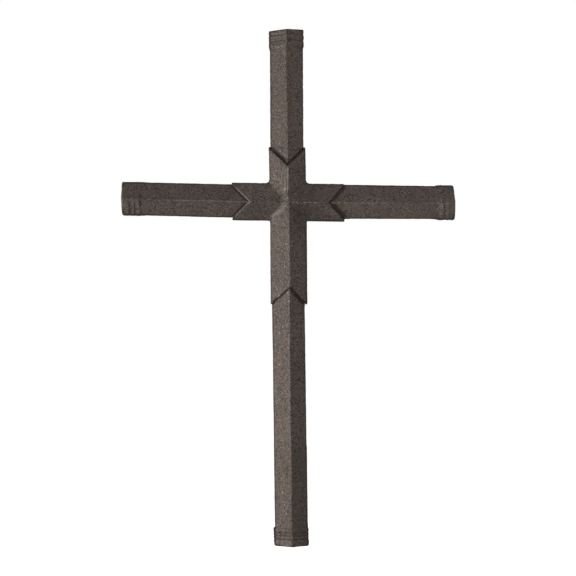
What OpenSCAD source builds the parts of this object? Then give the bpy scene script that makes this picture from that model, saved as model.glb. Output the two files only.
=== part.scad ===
// Memorial cross of ridged iron bars, cast in one piece with a swallow-tailed sleeve and ringed ends.
// The origin is the middle of the crossing, on the flat back. +Z is up and the ridges face -Y.

/* [Overall] */
// Height of the whole cross
height = 400.5; // [330:0.5:600]
// Width across both side arms
span = 258; // [200:1:400]
// Length of the top arm, from the middle of the crossing
top_arm = 133.5; // [100:0.5:160]

/* [Bars] */
// Width of the upright bar
upright_w = 25.3; // [18:0.1:34]
// Width of the side arms
arm_w = 25.5; // [18:0.1:34]
// Height of the square sides, from the flat back to the foot of the slopes
side_h = 5; // [4:0.1:10]
// Rise of the ridge above the square sides
ridge_rise = 8.5; // [6:0.1:14]

/* [Sleeve] */
// How far the sleeve is proud of the upright bar, on each side
sleeve_upright_proud = 1.4; // [0.8:0.1:4]
// How far the sleeve is proud of the side arms, on each side
sleeve_arm_proud = 1.7; // [0.8:0.1:4]
// How much higher the sleeve's ridges are than the ridges of the bars
sleeve_lift = 1.9; // [1:0.1:4]
// How much higher the sleeve's square sides are than those of the bars
sleeve_side_lift = 0.9; // [0:0.1:3]
// Reach of the sleeve's points along each side arm, from the middle of the crossing
sleeve_side = 43.4; // [36:0.1:60]
// Reach of the sleeve's points up the top arm
sleeve_up = 42.4; // [36:0.1:60]
// Reach of the sleeve's points down the lower arm
sleeve_down = 79.3; // [60:0.1:120]
// Radius of the upper inner corners
upper_corner_r = 3; // [0.5:0.1:8]
// Radius of the lower inner corners
lower_corner_r = 1.4; // [0.5:0.1:8]

/* [Collars] */
// Length of the ringed collar at each end
collar_len = 14.5; // [12:0.1:24]
// Length of the flare from a bar up to its collar
flare_len = 1.5; // [0.5:0.1:3]
// Width of each turned groove
groove_w = 1.5; // [0.6:0.1:2.1]
// Depth of each turned groove
groove_depth = 0.6; // [0.2:0.05:1]
// Radius of the softened edge around each end
end_r = 1.2; // [0.3:0.1:2.5]

/* [Hand finish, each in the order right, top, left, foot] */
// How far each collar is proud of its bar
collar_proud = [0.6, 0.6, 0.35, 0.6]; // [0.2:0.05:2]
// Turn of each bar off square, counterclockwise, in degrees
bar_lean = [-0.15, 0.25, -1.3, 0.75]; // [-2:0.05:2]
// Turn of each end face off square to its bar, counterclockwise, in degrees
end_slant = [3, 2.4, 1.3, -0.9]; // [-4:0.1:4]
// How far each bar's ridge sits off its middle, below the side arms and right of the upright
ridge_wander = [1, 0.3, 0.8, 0.7]; // [-2:0.1:2]
// Extra width of each bar where it leaves the crossing, on its left edge as seen from there
root_swell = [1.3, 0, 0, 0]; // [0:0.1:2]
// Turn of each arm of the sleeve off square, counterclockwise, in degrees
sleeve_lean = [-0.7, 1.25, -0.7, 0.5]; // [-2:0.05:2]
// Depth of each swallow-tail notch
notch_depth = [12.4, 15, 13.6, 14.1]; // [6:0.1:18]
// Length of the square tips on both sides of each notch
tip_len = [0.6, 2, 0.4, 1.4]; // [0.2:0.1:4]

/* [Hand finish of the crossing] */
// How far the upright bar sits to the left of the sleeve
upright_offset = 0.75; // [-1:0.05:1]
// Turn of the sleeve's ridges off square, counterclockwise, in degrees: across, upright
sleeve_ridge_lean = [-0.75, 0.7]; // [-2:0.05:2]
// How far the sleeve's ridges sit off its middle: below across, right of upright
sleeve_ridge_wander = [0.5, 0.6]; // [-2:0.1:2]

/* [Fixing holes] */
// Diameter of the two tapped holes in the back, at the core of an M6 thread
fixing_d = 5; // [3:0.1:8]
// Depth of the tapped holes
fixing_depth = 9; // [4:0.5:11]
// Height of the upper hole above the middle of the crossing
fixing_up = 70; // [20:1:110]
// Distance between the two holes
fixing_spacing = 240; // [80:1:240]

/* [Hidden] */

arc_steps = 6;
foot_arm = height - top_arm;
ridge_h = side_h + ridge_rise;
sleeve_ridge_h = ridge_h + sleeve_lift;
sleeve_side_h = side_h + sleeve_side_lift;
sleeve_upright_w = upright_w + 2 * sleeve_upright_proud;
sleeve_arm_w = arm_w + 2 * sleeve_arm_proud;
// Longer than any half width or height in the model, for stock that is trimmed by other shapes
reach = height;

// The four bars in turn, counterclockwise from the right, with
// [length, width, ridge off the middle, grooves as shares of the collar's band, from the bar to the end]
BARS = [
    [span / 2, arm_w,     -ridge_wander[0], [0.43, 0.76]],
    [top_arm,  upright_w, -ridge_wander[1], [0.37, 0.78]],
    [span / 2, arm_w,      ridge_wander[2], [0.25, 0.67]],
    [foot_arm, upright_w,  ridge_wander[3], [0.28, 0.48, 0.71]],
];

// The sleeve's four arms in the same order, with [reach of the tips, bar's half width, how far the sleeve is
// proud of it, ridge off the middle, half width of the next arm, corner radius before that arm]
SLEEVE = [
    [sleeve_side, arm_w / 2,     sleeve_arm_proud,     -sleeve_ridge_wander[0], sleeve_upright_w / 2, upper_corner_r],
    [sleeve_up,   upright_w / 2, sleeve_upright_proud, -sleeve_ridge_wander[1], sleeve_arm_w / 2,     upper_corner_r],
    [sleeve_side, arm_w / 2,     sleeve_arm_proud,      sleeve_ridge_wander[0], sleeve_upright_w / 2, lower_corner_r],
    [sleeve_down, upright_w / 2, sleeve_upright_proud,  sleeve_ridge_wander[1], sleeve_arm_w / 2,     lower_corner_r],
];

function turned(p, a) = [p[0] * cos(a) - p[1] * sin(a), p[0] * sin(a) + p[1] * cos(a)];

// A point of the sleeve's square outline, moved to where the leans of its arms take it
function leant(p) = [
    p[0] - p[1] * tan(sleeve_lean[p[1] > 0 ? 1 : 3]),
    p[1] + p[0] * tan(sleeve_lean[p[0] > 0 ? 0 : 2])
];

// Face of a bar along its length, as [distance from the crossing, how far it is proud]
function bar_face(length, proud, grooves) = let (
    band_start = length - collar_len + flare_len,
    band_end = length - end_r
) concat(
    [[-upright_w / 2, 0], [length - collar_len, 0], [band_start, proud]],
    [for (g = grooves, k = [-1, 0, 1])
        [band_start + g * (band_end - band_start) + k * groove_w / 2, proud - (k == 0 ? groove_depth : 0)]],
    [for (i = [0 : arc_steps]) let (a = 90 * i / arc_steps)
        [band_end + end_r * sin(a), proud - end_r + end_r * cos(a)]]
);

// One edge of a bar seen from the front, side 1 or -1, with its collar slanted
function bar_edge(face, w, side, slant, swell) = [
    for (i = [0 : len(face) - 1]) let (across = side * (w / 2 + face[i][1] + (i == 0 ? swell : 0)))
        [face[i][0] - (i == 0 ? 0 : across * tan(slant)), across]
];

// One arm of the sleeve's outline, along +X, with the inner corner that leads to the next arm
function sleeve_arm(a, notch, tip) = let (far = a[0], bar_half = a[1], half = a[1] + a[2], r = a[5]) concat(
    [[far, -half], [far, -bar_half], [far - tip, -bar_half], [far - notch, a[3]]],
    [[far - tip, bar_half], [far, bar_half], [far, half]],
    [for (i = [0 : arc_steps]) [a[4] + r, half + r] + turned([0, -r], -90 * i / arc_steps)]
);

// Everything below one slope of a bar that runs along +X, side 1 or -1
module below_slope(face, length, w, wander, side, slant) {
    incline = atan(ridge_rise / (w / 2 - side * wander));
    twist = side * atan(tan(slant) * cos(incline));
    stock = concat([[face[0][0], -reach]], face, [[length, -reach]]);
    mirror([0, side < 0 ? 1 : 0, 0])
        translate([length, side * wander, ridge_h])
            rotate([90 - incline, 0, 0])
                rotate([0, twist, 0])
                    translate([-length, 0, 0])
                        linear_extrude(height = reach, center = true) polygon(stock);
}

// One bar from the crossing to its collared end, lying on its back along +X
module bar(length, w, wander, grooves, proud, slant, swell) {
    face = bar_face(length, proud, grooves);
    last = len(face) - 1;
    right_edge = bar_edge(face, w, -1, slant, 0);
    left_edge = bar_edge(face, w, 1, slant, swell);
    intersection() {
        linear_extrude(height = 2 * ridge_h)
            polygon(concat(right_edge, [for (i = [last : -1 : 0]) left_edge[i]]));
        below_slope(face, length, w, wander, 1, slant);
        below_slope(face, length, w, wander, -1, slant);
    }
}

// Gable that runs both ways along X, with slopes that fall from the ridge to the back
module gable(w, wander) {
    spread = sleeve_ridge_h / (sleeve_ridge_h - sleeve_side_h);
    fall_left = spread * (w / 2 - wander);
    fall_right = spread * (w / 2 + wander);
    rotate([90, 0, 90])
        linear_extrude(height = 2 * reach, center = true)
            polygon([[wander - fall_right, 0], [wander + fall_left, 0], [wander, sleeve_ridge_h]]);
}

// Sleeve over the crossing, its outline trimmed to a swallow-tail on each arm
module sleeve() {
    outline = [for (i = [0 : 3])
        each [for (p = sleeve_arm(SLEEVE[i], notch_depth[i], tip_len[i])) leant(turned(p, 90 * i))]];
    intersection() {
        linear_extrude(height = 2 * sleeve_ridge_h) polygon(outline);
        union() {
            rotate([0, 0, sleeve_ridge_lean[0]]) gable(sleeve_arm_w, -sleeve_ridge_wander[0]);
            rotate([0, 0, 90 + sleeve_ridge_lean[1]]) gable(sleeve_upright_w, -sleeve_ridge_wander[1]);
        }
    }
}

// Two blind tapped holes in the back of the upright, for studs
module fixing_holes() {
    for (z = [fixing_up, fixing_up - fixing_spacing])
        translate([0, z, -1]) cylinder(h = fixing_depth + 1, d = fixing_d, $fn = 48);
}

module cross() {
    color([0.33, 0.30, 0.28])
        rotate([90, 0, 0])
            difference() {
                union() {
                    sleeve();
                    for (i = [0 : 3])
                        translate([i % 2 == 1 ? -upright_offset : 0, 0, 0])
                            rotate([0, 0, 90 * i + bar_lean[i]])
                                bar(BARS[i][0], BARS[i][1], BARS[i][2], BARS[i][3],
                                    collar_proud[i], end_slant[i], root_swell[i]);
                }
                fixing_holes();
            }
}

cross();
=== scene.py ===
import math

import bmesh
import bpy
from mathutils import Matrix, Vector, noise


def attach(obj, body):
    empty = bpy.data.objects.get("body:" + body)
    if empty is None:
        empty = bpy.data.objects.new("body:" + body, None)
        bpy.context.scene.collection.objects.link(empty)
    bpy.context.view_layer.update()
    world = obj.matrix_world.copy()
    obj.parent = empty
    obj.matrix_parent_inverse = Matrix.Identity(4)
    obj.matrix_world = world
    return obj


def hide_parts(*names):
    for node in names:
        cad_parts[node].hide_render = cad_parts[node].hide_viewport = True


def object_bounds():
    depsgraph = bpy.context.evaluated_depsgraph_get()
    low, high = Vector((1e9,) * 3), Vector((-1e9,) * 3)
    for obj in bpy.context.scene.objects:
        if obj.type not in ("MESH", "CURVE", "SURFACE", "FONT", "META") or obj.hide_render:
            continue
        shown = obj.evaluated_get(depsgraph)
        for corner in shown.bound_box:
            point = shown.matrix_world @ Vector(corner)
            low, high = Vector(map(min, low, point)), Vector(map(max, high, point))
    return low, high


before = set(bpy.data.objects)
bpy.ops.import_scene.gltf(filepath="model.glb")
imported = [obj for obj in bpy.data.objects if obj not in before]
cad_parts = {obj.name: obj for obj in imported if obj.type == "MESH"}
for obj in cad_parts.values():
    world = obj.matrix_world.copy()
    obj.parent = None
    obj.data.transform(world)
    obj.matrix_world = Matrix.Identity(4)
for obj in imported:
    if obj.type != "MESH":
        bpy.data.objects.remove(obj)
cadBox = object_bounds()
print("stage: frame loaded")

bpy.context.scene.view_settings.view_transform = "Standard"


def between(low, high, value):
    share = min(1.0, max(0.0, (value - low) / (high - low)))
    return share * share * (3 - 2 * share)  # an eased step, falling where low is above high


# the camera stands straight in front of the middle of the cross
camera = {
    "distance": 1.5,
    "lens": 120.8,
    "sensor": 36,
    "clip": (0.05, 50),
    "aimX": -0.00025,  # the aim's offset from the box's middle
    "aimZ": -0.0001,
    "eyeDepth": -0.006,  # the distance is taken from this plane inside the bars
}


def placeCamera(settings, low, high):
    lens = bpy.data.cameras.new("camera")
    lens.lens = settings["lens"]
    lens.sensor_width = settings["sensor"]
    lens.clip_start, lens.clip_end = settings["clip"]
    eye = bpy.data.objects.new("camera", lens)
    middle = (low + high) / 2
    eye.location.x = middle.x + settings["aimX"]
    eye.location.y = settings["eyeDepth"] - settings["distance"]
    eye.location.z = middle.z + settings["aimZ"]
    eye.rotation_euler.x = math.pi / 2
    bpy.context.scene.collection.objects.link(eye)
    bpy.context.scene.camera = eye


placeCamera(camera, *cadBox)
print("stage: camera placed")


# the cross; lengths are in metres, and depths are measured forwards from its flat back
ironCross = {
    "mergeGap": 2e-5,  # corners closer than this are one corner
    "meshDepth": 10,  # with the scale, this sets the size of the fine cells
    "meshScale": 0.515,
    "softenPasses": 1,  # rounds every edge a little, as a sand casting has it
    "blurredEnds": [  # left, right, bottom and top of collars that came out blurred, and how much
        (0.112, 0.140, -0.030, 0.030, 3),
        (-0.030, 0.030, 0.117, 0.140, 2),
        (-0.140, -0.112, -0.030, 0.030, 3),
        (-0.030, 0.030, -0.270, -0.249, 1),
    ],
    "squareDepth": 0.0064,  # what lies behind this is blurred twice as much
    "slopeDepth": 0.006,  # what lies in front of this is on the slopes and the ridges
    "markPasses": 12,  # how wide the darkening of a hollow, dirt with painted shade, spreads
    "hollowFull": 0.00030,  # lying this deep is fully darkened, with dirt and painted shade
    "edgePasses": 3,  # how wide a mark of wear and painted sheen spreads
    "edgeWearAndSheen": (0.00005, 0.00015),  # wear and painted sheen start, and are full, standing this far out
    "frontTurn": (0.0, 0.5),  # wear and painted sheen start, and are full, where a surface faces the front this much
    "rimDepth": (0.0075, 0.0085),  # rims lie behind the first, rubbed places with painted sheen in front of the second
    "rimTurn": (0.66, 0.84),  # painted shade is full, and gone, where a rim faces the front this much
    "rimSpread": 0.75,  # how much of a rim's painted shade the points beside it take
    "wallDepth": (0.003, 0.0045),  # square sides lie behind the first, rims in front of the second
    "wallShade": 0.4,  # share of the rim's painted shade that is left on the square sides
    "valleyReach": 0.021,  # the soft valleys round the middle of the crossing
    "valleySunk": 0.00004,  # a valley is where a point lies this deep
    "valleyPasses": 3,
    "backDepth": 0.0004,
    "backShare": 0.5,  # the hidden back is plainer
    "sink": 0.00005,  # the whole surface is set back by this
    "swell": 0.0002,  # makes up for what softening takes off the outline
    "sideTurn": (0.4, 0.8),  # a side swells where it faces the front or the back less than this
    "endReach": 0.018,  # the collars are rougher than the bars
    "endBlend": (0.6, 1),  # shares of that reach where this is still full, and has gone
    "endGain": 1.6,
    "waves": [  # size and height of the uneven surface, and where its pattern starts
        (0.034, 0.00020, 3.1),
        (0.0085, 0.00007, 11.7),
        (0.0031, 0.00011, 27.3),
    ],
    "pitSize": 0.0032,
    "pitFrom": (51.0, 7.0, -19.0),  # where the pattern of pits starts
    "pitStart": 0.42,  # a pit is where the pattern is above this
    "pitDepth": 0.0007,
    "hammered": (-0.006, 0.014, 0.012, 0.012),  # middle and reach of a patch of hammer marks
    "hammeredSize": 0.0021,
    "hammeredFrom": (5.0, 9.0, 2.0),
    "hammeredDepth": 0.00026,
    "bankedDirtAndShadow": [  # left, right, bottom and top of a step, rows of dirt and painted shadow beyond it, and how black
        (-0.016, 0.0006, 0.022, 0.046, (2, 0.6)),
        (0.0006, 0.018, 0.022, 0.046, (2, 0.0)),
        (0.026, 0.048, -0.018, -0.0004, (4, 0.0)),
        (0.026, 0.048, -0.0004, 0.018, (2, 0.0)),
        (0.001, 0.018, -0.086, -0.058, (3, 0.0)),
        (-0.048, -0.026, -0.018, 0.018, (1, 0.0)),
    ],
    "bankFade": 0.97,  # from each row of dirt and painted shadow to the next one out
    "bankStep": 0.0001,  # how much nearer the crossing a point of the row before lies
    "undarkenedMiddle": (0.0204, 0.024),  # from the middle: no darkening in the valleys, full darkening
    "grooveDirtAndShade": [  # left, right, bottom and top of parts of the collars, and their share of dirt and painted shade
        (0.112, 0.140, -0.030, -0.001, 0.55),
        (0.112, 0.140, -0.001, 0.030, 0.35),
        (-0.030, 0.000, 0.115, 0.140, 0.9),
        (0.000, 0.030, 0.115, 0.140, 0.5),
        (-0.1162, -0.1140, -0.003, 0.005, 6.0),
        (-0.140, -0.112, -0.030, -0.001, 1.0),
        (-0.140, -0.112, -0.001, 0.030, 0.2),
        (0.002, 0.030, -0.270, -0.249, 0.8),
        (-0.030, 0.002, -0.2545, -0.249, 0.5),
        (-0.030, 0.002, -0.270, -0.2545, 1.25),
    ],
    "rubbedAndSheen": [  # left, right, bottom and top of rubbed edges with painted sheen, how much, and how bright
        (-0.046, -0.0295, -0.018, 0.018, (1.3, 0.22)),
        (-0.0295, -0.010, -0.003, 0.003, (0.6, 0.25)),
        (0.0035, 0.0115, -0.006, 0.006, (1.1, 0.85)),
        (0.0115, 0.0285, -0.006, 0.006, (0.66, 0.75)),
        (0.032, 0.075, -0.004, 0.004, (0.68, 0.8)),
        (0.075, 0.130, -0.006, 0.006, (0.62, 0.7)),
        (-0.110, -0.098, -0.006, 0.006, (0.6, 0.4)),
        (-0.087, -0.076, -0.006, 0.006, (1.1, 0.5)),
        (-0.098, -0.046, -0.006, 0.006, (0.8, 0.45)),
        (-0.006, 0.006, 0.0165, 0.0265, (0.98, 1.0)),
        (-0.006, 0.006, 0.002, 0.0165, (0.8, 1.0)),
        (-0.006, 0.006, -0.050, -0.004, (0.5, 0.6)),
        (-0.014, 0.001, -0.084, -0.062, (0.6, 0.6)),
    ],
    "rubbedAndSheenElsewhere": (0.25, 0.5),
    "fleckGlint": (1.3, 0.45),  # how much, and how bright, each painted glint of the flecks is
    "flecks": [  # painted glints, as bright specks
        (-0.0038, -0.2326),
        (-0.0028, -0.2346),
        (-0.0013, -0.2414),
        (-0.0045, -0.2254),
        (-0.0029, -0.0505),
        (0.0002, -0.0770),
        (-0.0113, 0.0203),
        (-0.0105, 0.0180),
        (-0.0606, -0.0008),
    ],
    "fleckReach": 0.0005,
    "toneAndPaintedLightDepth": (0.001, 0.004),  # only the front has patches
    "toneAndPaintedLight": [  # middle and reach, across and up, of a lighter or darker patch, and by how much; the patches are partly the iron's own tone and partly painted light and shade
        (0.008, 0.080, 0.014, 0.075, 0.15),
        (-0.007, 0.090, 0.014, 0.060, -0.05),
        (-0.007, 0.035, 0.014, 0.040, 0.09),
        (0.008, -0.044, 0.014, 0.030, 0.14),
        (0.008, -0.016, 0.014, 0.012, -0.10),
        (0.008, -0.097, 0.014, 0.03, 0.13),
        (0.008, -0.168, 0.014, 0.030, 0.06),
        (0.008, -0.222, 0.014, 0.065, -0.16),
        (-0.007, -0.075, 0.014, 0.012, 0.14),
        (-0.007, -0.237, 0.014, 0.014, -0.09),
        (-0.007, -0.259, 0.016, 0.010, 0.07),
        (0.066, -0.008, 0.050, 0.011, 0.28),
        (0.066, 0.008, 0.050, 0.011, 0.09),
        (-0.085, -0.008, 0.056, 0.011, 0.08),
        (-0.048, -0.008, 0.018, 0.011, 0.08),
        (0.1225, -0.007, 0.010, 0.011, 0.14),
        (-0.026, 0.008, 0.018, 0.010, 0.26),
        # this and the next patch: painted shadow of the upright's ridge on the right arm beside the
        # crossing
        (0.027, 0.008, 0.016, 0.012, -0.09),
        (0.012, 0.0, 0.012, 0.014, -0.13),
        (-0.026, -0.008, 0.018, 0.010, -0.12),
        (-0.006, 0.012, 0.012, 0.012, 0.2),
        # painted highlight on the crossing's apex
        (-0.0022, -0.0006, 0.0042, 0.0052, 0.6),
        # from here on: painted highlights on the collars' beads and painted shade in their grooves
        (-0.1262, -0.006, 0.0030, 0.011, 0.32),
        (-0.1234, -0.006, 0.0020, 0.011, -0.25),
        (-0.1206, -0.006, 0.0020, 0.011, 0.5),
        (-0.1163, -0.006, 0.0014, 0.011, 0.6),
        (-0.1150, -0.001, 0.0010, 0.012, -0.3),
        (-0.007, 0.1228, 0.016, 0.0024, 0.14),
        (-0.007, 0.1256, 0.016, 0.0012, -0.2),
        (0.1182, -0.006, 0.0020, 0.011, 0.45),
        (0.1237, -0.006, 0.0024, 0.011, 0.3),
    ],
    "wallSwell": [  # left, right, bottom and top of a part, and how far its sides stand out more
        (-0.0165, -0.006, 0.040, 0.117, 0.0002),
        (0.006, 0.0165, -0.190, -0.081, -0.0002),
        (0.006, 0.0165, 0.045, 0.117, -0.0001),
        (0.006, 0.0165, -0.079, -0.016, 0.0002),
        (0.048, 0.112, -0.030, -0.006, -0.0002),
        (-0.140, -0.1115, -0.030, 0.030, 0.00024),
        (0.114, 0.140, -0.030, 0.030, 0.00018),
        (-0.030, -0.006, 0.117, 0.1325, 0.0005),
        (-0.030, -0.006, -0.2645, -0.2525, 0.0006),
        (-0.006, 0.030, -0.270, -0.249, 0.00016),
        (-0.030, -0.006, -0.270, -0.2645, 0.00026),
    ],
    "filedTop": (-0.1125, 0.0157),  # left of the first, the collar's top is flat at the second
    "grooveShifts": [  # middle and reach of grooves that run askew, and how far across and up
        (-0.1245, -0.006, 0.0042, 0.014, 0.0011, 0.0),
        (0.000, -0.2595, 0.060, 0.0065, 0.0, 0.0010),
    ],
    "ridgeWander": [  # height, and how far right of its line the upright ridge is there
        (0.120, -0.0003),
        (0.090, 0.0001),
        (0.052, 0.0006),
        (0.034, 0.0006),
        (0.0275, -0.0006),
        (0.004, -0.0008),
        (-0.004, 0.0006),
        (-0.010, 0.0002),
        (-0.045, 0.0002),
        (-0.055, 0.0006),
        (-0.110, 0.0004),
        (-0.160, 0.0001),
        (-0.210, 0.0004),
        (-0.235, 0.0),
    ],
    "ridgeHalfWidth": 0.0127,  # the slopes beside the upright ridge end here
    "ridgeDepth": 0.005,  # only what lies in front of this moves
    "armHalfWidth": 0.014,  # within this height the side arms' slopes stay where they are
    "valleyShift": 0.0014,  # the left valleys of the crossing lie this far out from their corners
    "valleyBox": (-0.03, 0.0003, 0.02),  # left, right, and half the height of what moves with them
    "valleyRight": 0.0004,  # the shift has died out here
    "valleySpread": 0.006,
    "valleyDepth": (0.006, 0.009),  # no shift behind the first, full shift in front of the second
    "valleyFade": (0.019, 0.009),  # height above and below the crossing: no shift, full shift
    "foldLimit": 1.6,  # radians between two faces
    "foldPasses": 12,
}


def finelyMeshed(node, settings):
    source = node.data.copy()
    shape = bmesh.new()
    shape.from_mesh(source)
    bmesh.ops.remove_doubles(shape, verts=shape.verts, dist=settings["mergeGap"])
    shape.to_mesh(source)
    shape.free()
    piece = bpy.data.objects.new("ironCross", source)
    bpy.context.scene.collection.objects.link(piece)
    remesh = piece.modifiers.new("fineMesh", "REMESH")
    remesh.mode = "SHARP"
    remesh.octree_depth = settings["meshDepth"]
    remesh.scale = settings["meshScale"]
    remesh.use_remove_disconnected = False
    seen = piece.evaluated_get(bpy.context.evaluated_depsgraph_get())
    fine = bpy.data.meshes.new_from_object(seen)
    piece.modifiers.clear()
    piece.data = fine
    fine.name = "ironCross"
    return piece


def smoothed(shape, verts, passes):
    for turn in range(passes):
        bmesh.ops.smooth_vert(
            shape, verts=verts, factor=0.5, use_axis_x=True, use_axis_y=True, use_axis_z=True
        )


def standing(shape, passes):  # how far each point stands out of a calmer surface
    calm = shape.copy()
    smoothed(calm, calm.verts, passes)
    heights = [(v.co - c.co).dot(v.normal) for v, c in zip(shape.verts, calm.verts)]
    calm.free()
    return heights


def softValleys(shape, settings, heights):
    reach = settings["valleyReach"]
    valley = []
    for vert, height in zip(shape.verts, heights):
        near = math.hypot(vert.co.x, vert.co.z) < reach and -vert.co.y > settings["slopeDepth"]
        if near and height < -settings["valleySunk"]:
            valley.append(vert)
    smoothed(shape, valley, settings["valleyPasses"])


def nearness(place, middleX, middleZ, reachX, reachZ):  # 1 to half the reach, 0 beyond all of it
    away = math.hypot((place.x - middleX) / reachX, (place.z - middleZ) / reachZ)
    return 1 - between(0.5, 1, away)


def valueAt(place, boxes, elsewhere):  # the value of the first box that holds the place
    for left, right, bottom, top, value in boxes:
        if left < place.x < right and bottom < place.z < top:
            return value
    return elsewhere


def dirtAndShadeAt(place, settings):  # the share of darkening, dirt and painted shade, that a hollow holds
    if -place.y < settings["wallDepth"][0]:
        return 1.0
    groove = valueAt(place, settings["grooveDirtAndShade"], 1.0)
    return groove * between(*settings["undarkenedMiddle"], math.hypot(place.x, place.z))


def blurEnds(shape, settings):
    most = 2 * max(end[-1] for end in settings["blurredEnds"])
    for turn in range(most):
        ends = []
        for vert in shape.verts:
            passes = valueAt(vert.co, settings["blurredEnds"], 0)
            if -vert.co.y < settings["squareDepth"]:
                passes *= 2
            if passes > turn:
                ends.append(vert)
        smoothed(shape, ends, 1)


def bankDirtAndShadow(shape, mark, sootAndShadow, settings):  # dirt and painted shadow lie outwards from the foot of a step
    banks = []
    for vert in shape.verts:
        rows, black = valueAt(vert.co, settings["bankedDirtAndShadow"], (0, 0))
        if rows and -vert.co.y > settings["slopeDepth"]:
            along = 0 if abs(vert.co.x) > abs(vert.co.z) else 2
            out = abs(vert.co[along]) - settings["bankStep"]
            beside = [e.other_vert(vert) for e in vert.link_edges]
            banks.append((vert, rows, black, [n for n in beside if abs(n.co[along]) < out]))
    for turn in range(max(rows for *box, (rows, black) in settings["bankedDirtAndShadow"])):
        grown = [
            (vert, max([n[mark] for n in inner], default=0) * settings["bankFade"], black)
            for vert, rows, black, inner in banks if rows > turn
        ]
        for vert, value, black in grown:
            vert[mark] = max(vert[mark], value)
            vert[sootAndShadow] = max(vert[sootAndShadow], black * min(1.0, value))


def wanderRidge(shape, settings):
    line = settings["ridgeWander"]
    for vert in shape.verts:
        place = vert.co
        aside = abs(place.x) / settings["ridgeHalfWidth"]
        along = line[-1][0] < place.z < line[0][0] and -place.y > settings["ridgeDepth"]
        across = abs(place.z) < settings["armHalfWidth"] and abs(place.x) > abs(place.z)
        if aside < 1 and along and not across:
            for (high, first), (low, second) in zip(line, line[1:]):
                if low < place.z <= high:
                    shift = second + (first - second) * (place.z - low) / (high - low)
            place.x += shift * (1 - aside)


def shiftValleys(shape, settings):
    left, right, halfHeight = settings["valleyBox"]
    still = settings["valleyRight"]
    for vert in shape.verts:
        place = vert.co
        height = abs(place.z)
        if left < place.x < right and height < halfHeight:
            if abs(place.x) > height:
                share = 1 - between(0, settings["valleySpread"], abs(place.x) - height)
            else:
                share = max(0.0, still - place.x) / (still + height)
            share *= between(*settings["valleyDepth"], -place.y)
            share *= between(*settings["valleyFade"], height)
            place.x -= settings["valleyShift"] * share


def trimCollars(shape, settings):  # files one collar's top flat and moves the grooves that run askew
    filedLeft, filedHeight = settings["filedTop"]
    for vert in shape.verts:
        if vert.co.x < filedLeft:
            vert.co.z = min(vert.co.z, filedHeight)
        for *spot, across, up in settings["grooveShifts"]:
            near = nearness(vert.co, *spot)
            vert.co.x += near * across
            vert.co.z += near * up


def easeFolds(shape, settings):  # evens out the few points where a thin step folds over itself
    limit = settings["foldLimit"]
    for turn in range(settings["foldPasses"]):
        folded = [v for v in shape.verts if any(e.calc_face_angle(0) > limit for e in v.link_edges)]
        smoothed(shape, folded, 1)


def reliefAt(place, settings, back, side, nearEnd):  # how far a point moves outwards
    lift = 0.0
    for size, depth, start in settings["waves"]:
        lift += depth * noise.noise(place / size + Vector((start, -start, start)))
    lift *= 1 + (settings["endGain"] - 1) * nearEnd
    pit = noise.noise(place / settings["pitSize"] + Vector(settings["pitFrom"]))
    lift -= settings["pitDepth"] * max(0.0, pit - settings["pitStart"])
    hammered = nearness(place, *settings["hammered"])
    if hammered:
        lump = noise.noise(place / settings["hammeredSize"] + Vector(settings["hammeredFrom"]))
        lift += settings["hammeredDepth"] * lump * hammered
    if back:
        lift = -abs(lift) * settings["backShare"]
    swell = settings["swell"] + valueAt(place, settings["wallSwell"], 0.0)
    return lift - settings["sink"] + swell * side


def spreadMark(shape, mark, share):  # each point takes a share of the strongest mark beside it
    spread = [max(e.other_vert(v)[mark] for e in v.link_edges) for v in shape.verts]
    for vert, beside in zip(shape.verts, spread):
        vert[mark] = max(vert[mark], share * beside)


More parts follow.
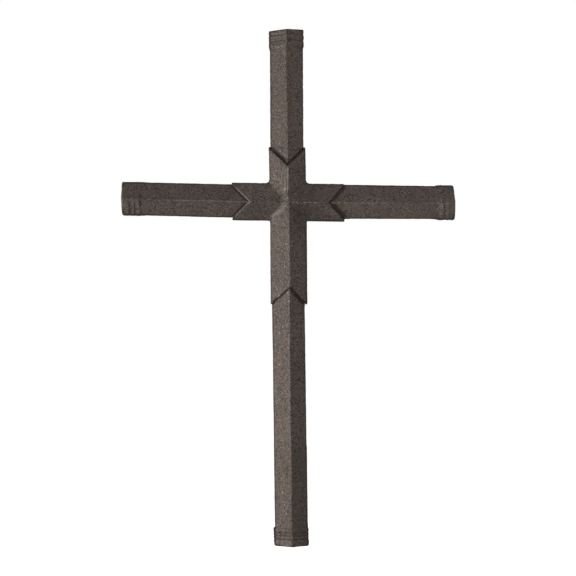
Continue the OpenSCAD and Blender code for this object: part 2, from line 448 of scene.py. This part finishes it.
def ageSurface(piece, settings, low, high):
    shape = bmesh.new()
    shape.from_mesh(piece.data)
    smoothed(shape, shape.verts, settings["softenPasses"])
    shape.normal_update()
    heights = standing(shape, settings["markPasses"])
    edges = standing(shape, settings["edgePasses"])
    softValleys(shape, settings, heights)
    blurEnds(shape, settings)
    shape.normal_update()
    names = ("wornAndSheen", "hollow", "rim", "shine", "toneAndPaintedLight", "sootAndShadow")  # the iron finish reads these
    wornAndSheen, hollow, rim, shine, toneAndPaintedLight, sootAndShadow = [shape.verts.layers.float.new(name) for name in names]
    moves = []
    for vert, height, edge in zip(shape.verts, heights, edges):
        place = vert.co
        # wear and painted sheen on ridges and edges that face the front
        front = between(*settings["frontTurn"], -vert.normal.y)
        raised = between(*settings["rimDepth"], -place.y)
        wearAndSheenAmount, bright = valueAt(place, settings["rubbedAndSheen"], settings["rubbedAndSheenElsewhere"])
        vert[wornAndSheen] = front * raised * between(*settings["edgeWearAndSheen"], edge) * wearAndSheenAmount
        vert[shine] = bright
        # painted glints at the listed flecks
        for fleckX, fleckZ in settings["flecks"]:
            if front and math.hypot(place.x - fleckX, place.z - fleckZ) < settings["fleckReach"]:
                vert[wornAndSheen], vert[shine] = settings["fleckGlint"]
        patches = sum(nearness(place, *spot) * gain for *spot, gain in settings["toneAndPaintedLight"])
        vert[toneAndPaintedLight] = patches * between(*settings["toneAndPaintedLightDepth"], -place.y)
        # darker in hollows: dirt with painted shade where a point lies sunk
        sunk = min(1.0, max(0.0, -height / settings["hollowFull"]))
        vert[hollow] = sunk * dirtAndShadeAt(place, settings)
        # painted shade on rims and sides that turn away from the front
        turned = 1 - between(*settings["rimTurn"], -vert.normal.y)
        onRim = between(*settings["wallDepth"], -place.y)
        vert[rim] = turned * (1 - raised) * (settings["wallShade"] + (1 - settings["wallShade"]) * onRim)
        toEnd = min(place.x - low.x, high.x - place.x, place.z - low.z, high.z - place.z)
        nearEnd = 1 - between(*settings["endBlend"], toEnd / settings["endReach"])
        back = place.y > -settings["backDepth"]
        side = 1 - between(*settings["sideTurn"], abs(vert.normal.y))
        moves.append(vert.normal * reliefAt(place, settings, back, side, nearEnd))
    spreadMark(shape, rim, settings["rimSpread"])
    bankDirtAndShadow(shape, hollow, sootAndShadow, settings)
    for vert, move in zip(shape.verts, moves):
        vert.co += move
    wanderRidge(shape, settings)
    shiftValleys(shape, settings)
    trimCollars(shape, settings)
    easeFolds(shape, settings)
    for face in shape.faces:
        face.smooth = True
    shape.normal_update()
    shape.to_mesh(piece.data)
    shape.free()
    print("points", len(piece.data.vertices), "faces", len(piece.data.polygons))


crossPiece = finelyMeshed(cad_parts["cross"], ironCross)
print("stage: cross meshed")
ageSurface(crossPiece, ironCross, *cadBox)
print("stage: cross aged")


class Wire:  # a socket, so that node maths reads as an expression
    def __init__(self, tree, socket=None):
        self.tree = tree
        self.socket = socket

    def add(self, kind, settings=None, inputs=None, output=0):
        node = self.tree.nodes.new("ShaderNode" + kind)
        for name, value in (settings or {}).items():
            setattr(node, name, value)
        for name, value in (inputs or {}).items():
            if isinstance(value, Wire):
                self.tree.links.new(value.socket, node.inputs[name])
            else:
                node.inputs[name].default_value = value
        return Wire(self.tree, node.outputs[output] if node.outputs else None)

    def beside(self, name):  # another output of the same node
        return Wire(self.tree, self.socket.node.outputs[name])

    def maths(self, operation, first, second=0.0, clamp=False):
        chosen = {"operation": operation, "use_clamp": clamp}
        return self.add("Math", chosen, {0: first, 1: second})

    def __add__(self, other):
        return self.maths("ADD", self, other)

    def __radd__(self, other):
        return self.maths("ADD", other, self)

    def __sub__(self, other):
        return self.maths("SUBTRACT", self, other)

    def __rsub__(self, other):
        return self.maths("SUBTRACT", other, self)

    def __mul__(self, other):
        return self.maths("MULTIPLY", self, other)

    def __rmul__(self, other):
        return self.maths("MULTIPLY", other, self)

    def clamped(self):
        return self.maths("ADD", self, 0.0, clamp=True)

    def absolute(self):
        return self.maths("ABSOLUTE", self)

    def step(self, low, high):  # an eased step from 0 at low to 1 at high
        limits = {"Value": self, "From Min": low, "From Max": high}
        return self.add("MapRange", {"interpolation_type": "SMOOTHSTEP"}, limits)

    def mixed(self, first, second):  # self is the share of the second colour
        shades = {0: self, 6: first, 7: second}  # a Mix node's sockets share names, so by number
        return self.add("Mix", {"data_type": "RGBA"}, shades, output=2)

    def scaled(self, amount):  # a colour made lighter or darker
        return self.add("VectorMath", {"operation": "SCALE"}, {0: self, "Scale": amount})


def blankMaterial(name):
    material = bpy.data.materials.new(name)
    material.use_nodes = True
    material.node_tree.nodes.clear()
    return material, Wire(material.node_tree)


ironFinish = {
    "dark": (0.046, 0.0363, 0.032, 1),
    "light": (0.133, 0.1065, 0.0925, 1),
    "warm": (0.105, 0.078, 0.060, 1),
    # dark colour for dirt and painted shade in hollows and on rims
    "grimeAndShade": (0.035, 0.0255, 0.0225, 1),
    # light colour for wear with painted sheen, and for the painted highlight streaks
    "polishedAndSheen": (0.42, 0.385, 0.34, 1),
    # colour of painted glints: bright specks
    "speckGlint": (0.30, 0.26, 0.21, 1),
    "patchScale": 30,  # a higher scale is a finer pattern
    "patchShare": 0.6,  # its share in the light and dark of the iron
    "mottleScale": 150,
    "mottleShare": 0.3,
    "grainScale": 430,
    "grainShare": 1.5,
    "fineScale": 900,
    "fineShare": 5.4,
    "tintScale": 120,
    "tintRange": (0.42, 0.66),
    "tintShare": 0.5,
    "dirtAndShadeRange": (0.16, 0.5),  # how hollow a place is where dirt and painted shade start, and are full
    "dirtAndShadeMottle": 0.25,
    "dirtAndShadeShare": 0.92,
    "rimGain": 1.3,
    "dashScale": 340,
    "dashGain": 0.9,  # how much dashes break up the wear and painted sheen
    "rubbedAndSheenRange": (0.45, 0.75),
    "rubbedAndSheenStart": (0.05, 0.3),
    "speckScale": 559,
    "speckRange": (0.79, 0.84),
    "speckShare": 0.6,
    "roughness": 0.55,
    "grainRoughness": 0.3,
    "rubbedAndSheenGloss": 0.05,
    "specular": 0.2,
    "metallic": 0.2,
    "bumpStrength": 0.8,
    "bumpHeight": 0.0002,
    "grainBump": 0.8,
    "fineBump": 0.4,
    "mottleBump": 0.5,
    "highlightStreakDepth": (0.006, 0.008),  # the painted highlight streaks are on the slopes only
    "highlightStreakFade": (-0.0004, 0.0006),  # along its length, where a streak starts and is full
    "highlightStreakCore": 0.3,  # share of a streak's width that is fully bright
    "highlightStreakWhole": 0.3,  # the lower, the more a streak is broken into dashes
    "highlightStreaks": [  # painted highlights: x and z of both ends, width, and how bright
        (-0.0030, -0.0016, -0.0146, -0.0126, 0.0017, 0.34),
        (-0.0019, -0.0029, -0.0130, -0.0121, 0.0006, 0.5),
        (-0.0027, -0.0055, -0.0094, -0.0106, 0.0005, 0.4),
        (-0.0035, 0.0082, -0.0021, 0.0105, 0.0006, 0.8),
        (-0.0011, 0.0022, -0.0001, 0.0038, 0.0006, 0.8),
        (-0.1203, 0.0024, -0.1201, -0.0031, 0.0009, 0.3),
        (0.1186, -0.0008, 0.1194, -0.0046, 0.0009, 0.25),
        (0.0713, 0.0038, 0.0674, -0.0015, 0.0006, 0.22),
        (-0.0904, 0.0121, -0.0855, 0.0075, 0.0006, 0.15),
        (-0.0081, -0.0735, -0.0064, -0.0723, 0.0007, 0.55),
        (-0.0013, -0.0706, 0.0005, -0.0693, 0.0007, 0.55),
    ],
}


def ironMaterial(finish):
    material, iron = blankMaterial("agedIron")
    place = iron.add("TexCoord", output="Object")
    x = iron.add("SeparateXYZ", {}, {"Vector": place})
    depth = 0 - x.beside("Y")
    z = x.beside("Z")

    def speckle(scale, detail=1):
        return iron.add("TexNoise", {}, {"Vector": place, "Scale": scale, "Detail": detail})

    def mark(name):
        return iron.add("Attribute", {"attribute_name": name}, output="Fac")

    # a painted highlight drawn as a bright streak
    def highlightStreak(fromX, fromZ, toX, toZ, width, bright):
        start, full = finish["highlightStreakFade"]
        length = math.hypot(toX - fromX, toZ - fromZ)
        turnX = (toX - fromX) / length
        turnZ = (toZ - fromZ) / length
        along = (x - fromX) * turnX + (z - fromZ) * turnZ
        aside = (x - fromX) * turnZ - (z - fromZ) * turnX
        ends = along.step(start, full) * (1 - along.step(length - full, length - start))
        core = 1 - aside.absolute().step(width * finish["highlightStreakCore"], width)
        return core * ends * bright

    patch = speckle(finish["patchScale"])
    mottle = speckle(finish["mottleScale"], 2)
    grain = speckle(finish["grainScale"])
    fine = speckle(finish["fineScale"])
    dashes = speckle(finish["dashScale"])
    wornAndSheen = mark("wornAndSheen")

    tone = 0.5 + (patch - 0.5) * finish["patchShare"] + (mottle - 0.5) * finish["mottleShare"]
    tone = tone + (grain - 0.5) * finish["grainShare"] + (fine - 0.5) * finish["fineShare"]
    colour = tone.clamped().mixed(finish["dark"], finish["light"])
    tint = speckle(finish["tintScale"], 2).step(*finish["tintRange"]) * finish["tintShare"]
    # lighter and darker patches: partly the iron's own tone, partly painted light and shade
    colour = tint.mixed(colour, finish["warm"]).scaled(1 + mark("toneAndPaintedLight"))

    # darker in hollows: dirt with painted shade, mixed towards the dark colour
    hollowDirtAndShade = (mark("hollow") + (mottle - 0.5) * finish["dirtAndShadeMottle"]).step(*finish["dirtAndShadeRange"])
    # rims turned from the front add painted shade to the hollows' darkening
    dirtAndShade = (hollowDirtAndShade + mark("rim") * finish["rimGain"]).clamped() * finish["dirtAndShadeShare"]
    # blacker beside one step: painted shadow with soot
    colour = dirtAndShade.mixed(colour, finish["grimeAndShade"]).scaled(1 - mark("sootAndShadow"))

    # lighter on rubbed ridges and edges: wear and painted sheen
    rubbedAndSheen = (wornAndSheen + (dashes - 0.5) * finish["dashGain"]).step(*finish["rubbedAndSheenRange"])
    rubbedAndSheen = rubbedAndSheen * wornAndSheen.step(*finish["rubbedAndSheenStart"]) * mark("shine")
    colour = rubbedAndSheen.mixed(colour, finish["polishedAndSheen"])
    # painted highlights drawn as bright streaks
    highlightStreaks = sum((highlightStreak(*line) for line in finish["highlightStreaks"]), 0)
    highlightStreaks = highlightStreaks * depth.step(*finish["highlightStreakDepth"])
    highlightStreaks = highlightStreaks * (dashes + finish["highlightStreakWhole"]).clamped()
    colour = highlightStreaks.mixed(colour, finish["polishedAndSheen"])
    # painted glints scattered as bright specks
    glintSpecks = speckle(finish["speckScale"], 0).step(*finish["speckRange"]) * finish["speckShare"]
    colour = glintSpecks.mixed(colour, finish["speckGlint"])

    roughness = finish["roughness"] + (grain - 0.5) * finish["grainRoughness"]
    roughness = (roughness - rubbedAndSheen * finish["rubbedAndSheenGloss"]).clamped()
    height = grain * finish["grainBump"] + fine * finish["fineBump"] + mottle * finish["mottleBump"]
    relief = {"Strength": finish["bumpStrength"], "Distance": finish["bumpHeight"], "Height": height}
    sockets = {
        "Base Color": colour,
        "Roughness": roughness,
        "Metallic": finish["metallic"],
        "Specular IOR Level": finish["specular"],
        "Normal": iron.add("Bump", {}, relief),
    }
    iron.add("OutputMaterial", {}, {"Surface": iron.add("BsdfPrincipled", {}, sockets)})
    return material


crossPiece.data.materials.clear()
crossPiece.data.materials.append(ironMaterial(ironFinish))
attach(crossPiece, "root")
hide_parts("cross")
print("stage: iron finish")


# the floor, the background and the lamps
studio = {
    "floorDrop": 0.2,  # below the foot of the cross
    "floorSize": 8.0,
    "floorShade": (0.55, 0.55, 0.54, 1),
    "floorGlow": 0.76,  # lifts the floor to near white where it is seen, not the light from it
    "ambient": 0.5,  # the white world's strength as plain light
    "keyFrom": (-0.98, -0.14, -0.12),  # a lamp's direction from the middle of the cross
    "keyDistance": 1.5,
    "keySize": 0.3,
    "keyPower": 17.2,
    "keyShade": (1, 0.97, 0.94),
    "backFrom": (0.45, 0.85, 0.25),
    "backDistance": 1.8,
    "backSize": 0.9,
    "backPower": 13.0,
    "backShade": (1, 0.98, 0.96),
}


def seenDirectly(wire):  # 1 for what the camera, a reflection or glass sees, 0 for plain light
    path = wire.add("LightPath")
    rays = [path.beside("Is " + ray + " Ray") for ray in ("Camera", "Glossy", "Transmission")]
    return (rays[0] + rays[1] + rays[2]).clamped()


def whiteWorld(settings):
    world = bpy.data.worlds.new("studio")
    world.use_nodes = True
    world.node_tree.nodes.clear()
    sky = Wire(world.node_tree)
    plain = sky.add("Background", {}, {"Color": (1, 1, 1, 1), "Strength": settings["ambient"]})
    white = sky.add("Background", {}, {"Color": (1, 1, 1, 1), "Strength": 1.0})
    both = sky.add("MixShader", {}, {0: seenDirectly(sky), 1: plain, 2: white})
    sky.add("OutputWorld", {}, {"Surface": both})
    bpy.context.scene.world = world


def paleFloor(settings, low, high):
    shape = bmesh.new()
    half = settings["floorSize"] / 2
    bmesh.ops.create_grid(shape, x_segments=1, y_segments=1, size=half)
    middle = (low + high) / 2
    drop = Vector((middle.x, 0, low.z - settings["floorDrop"]))
    bmesh.ops.translate(shape, verts=shape.verts, vec=drop)
    mesh = bpy.data.meshes.new("floor")
    shape.to_mesh(mesh)
    shape.free()
    floor = bpy.data.objects.new("floor", mesh)
    bpy.context.scene.collection.objects.link(floor)
    material, paint = blankMaterial("paleFloor")
    matt = paint.add("BsdfDiffuse", {}, {"Color": settings["floorShade"]})
    share = seenDirectly(paint) * settings["floorGlow"]
    glow = paint.add("Emission", {}, {"Color": (1, 1, 1, 1), "Strength": share})
    both = paint.add("AddShader", {}, {0: matt, 1: glow})
    paint.add("OutputMaterial", {}, {"Surface": both})
    mesh.materials.append(material)
    return floor


def softbox(name, middle, settings):
    light = bpy.data.lights.new(name, "AREA")
    light.size = settings[name + "Size"]
    light.energy = settings[name + "Power"]
    light.color = settings[name + "Shade"]
    lamp = bpy.data.objects.new(name, light)
    away = Vector(settings[name + "From"]).normalized()
    lamp.location = middle + away * settings[name + "Distance"]
    lamp.rotation_mode = "QUATERNION"
    lamp.rotation_quaternion = away.to_track_quat("Z", "Y")
    lamp.visible_camera = False
    bpy.context.scene.collection.objects.link(lamp)


whiteWorld(studio)
paleFloor(studio, *cadBox)
boxMiddle = (cadBox[0] + cadBox[1]) / 2
softbox("key", boxMiddle, studio)
softbox("back", boxMiddle, studio)
print("stage: studio lit")
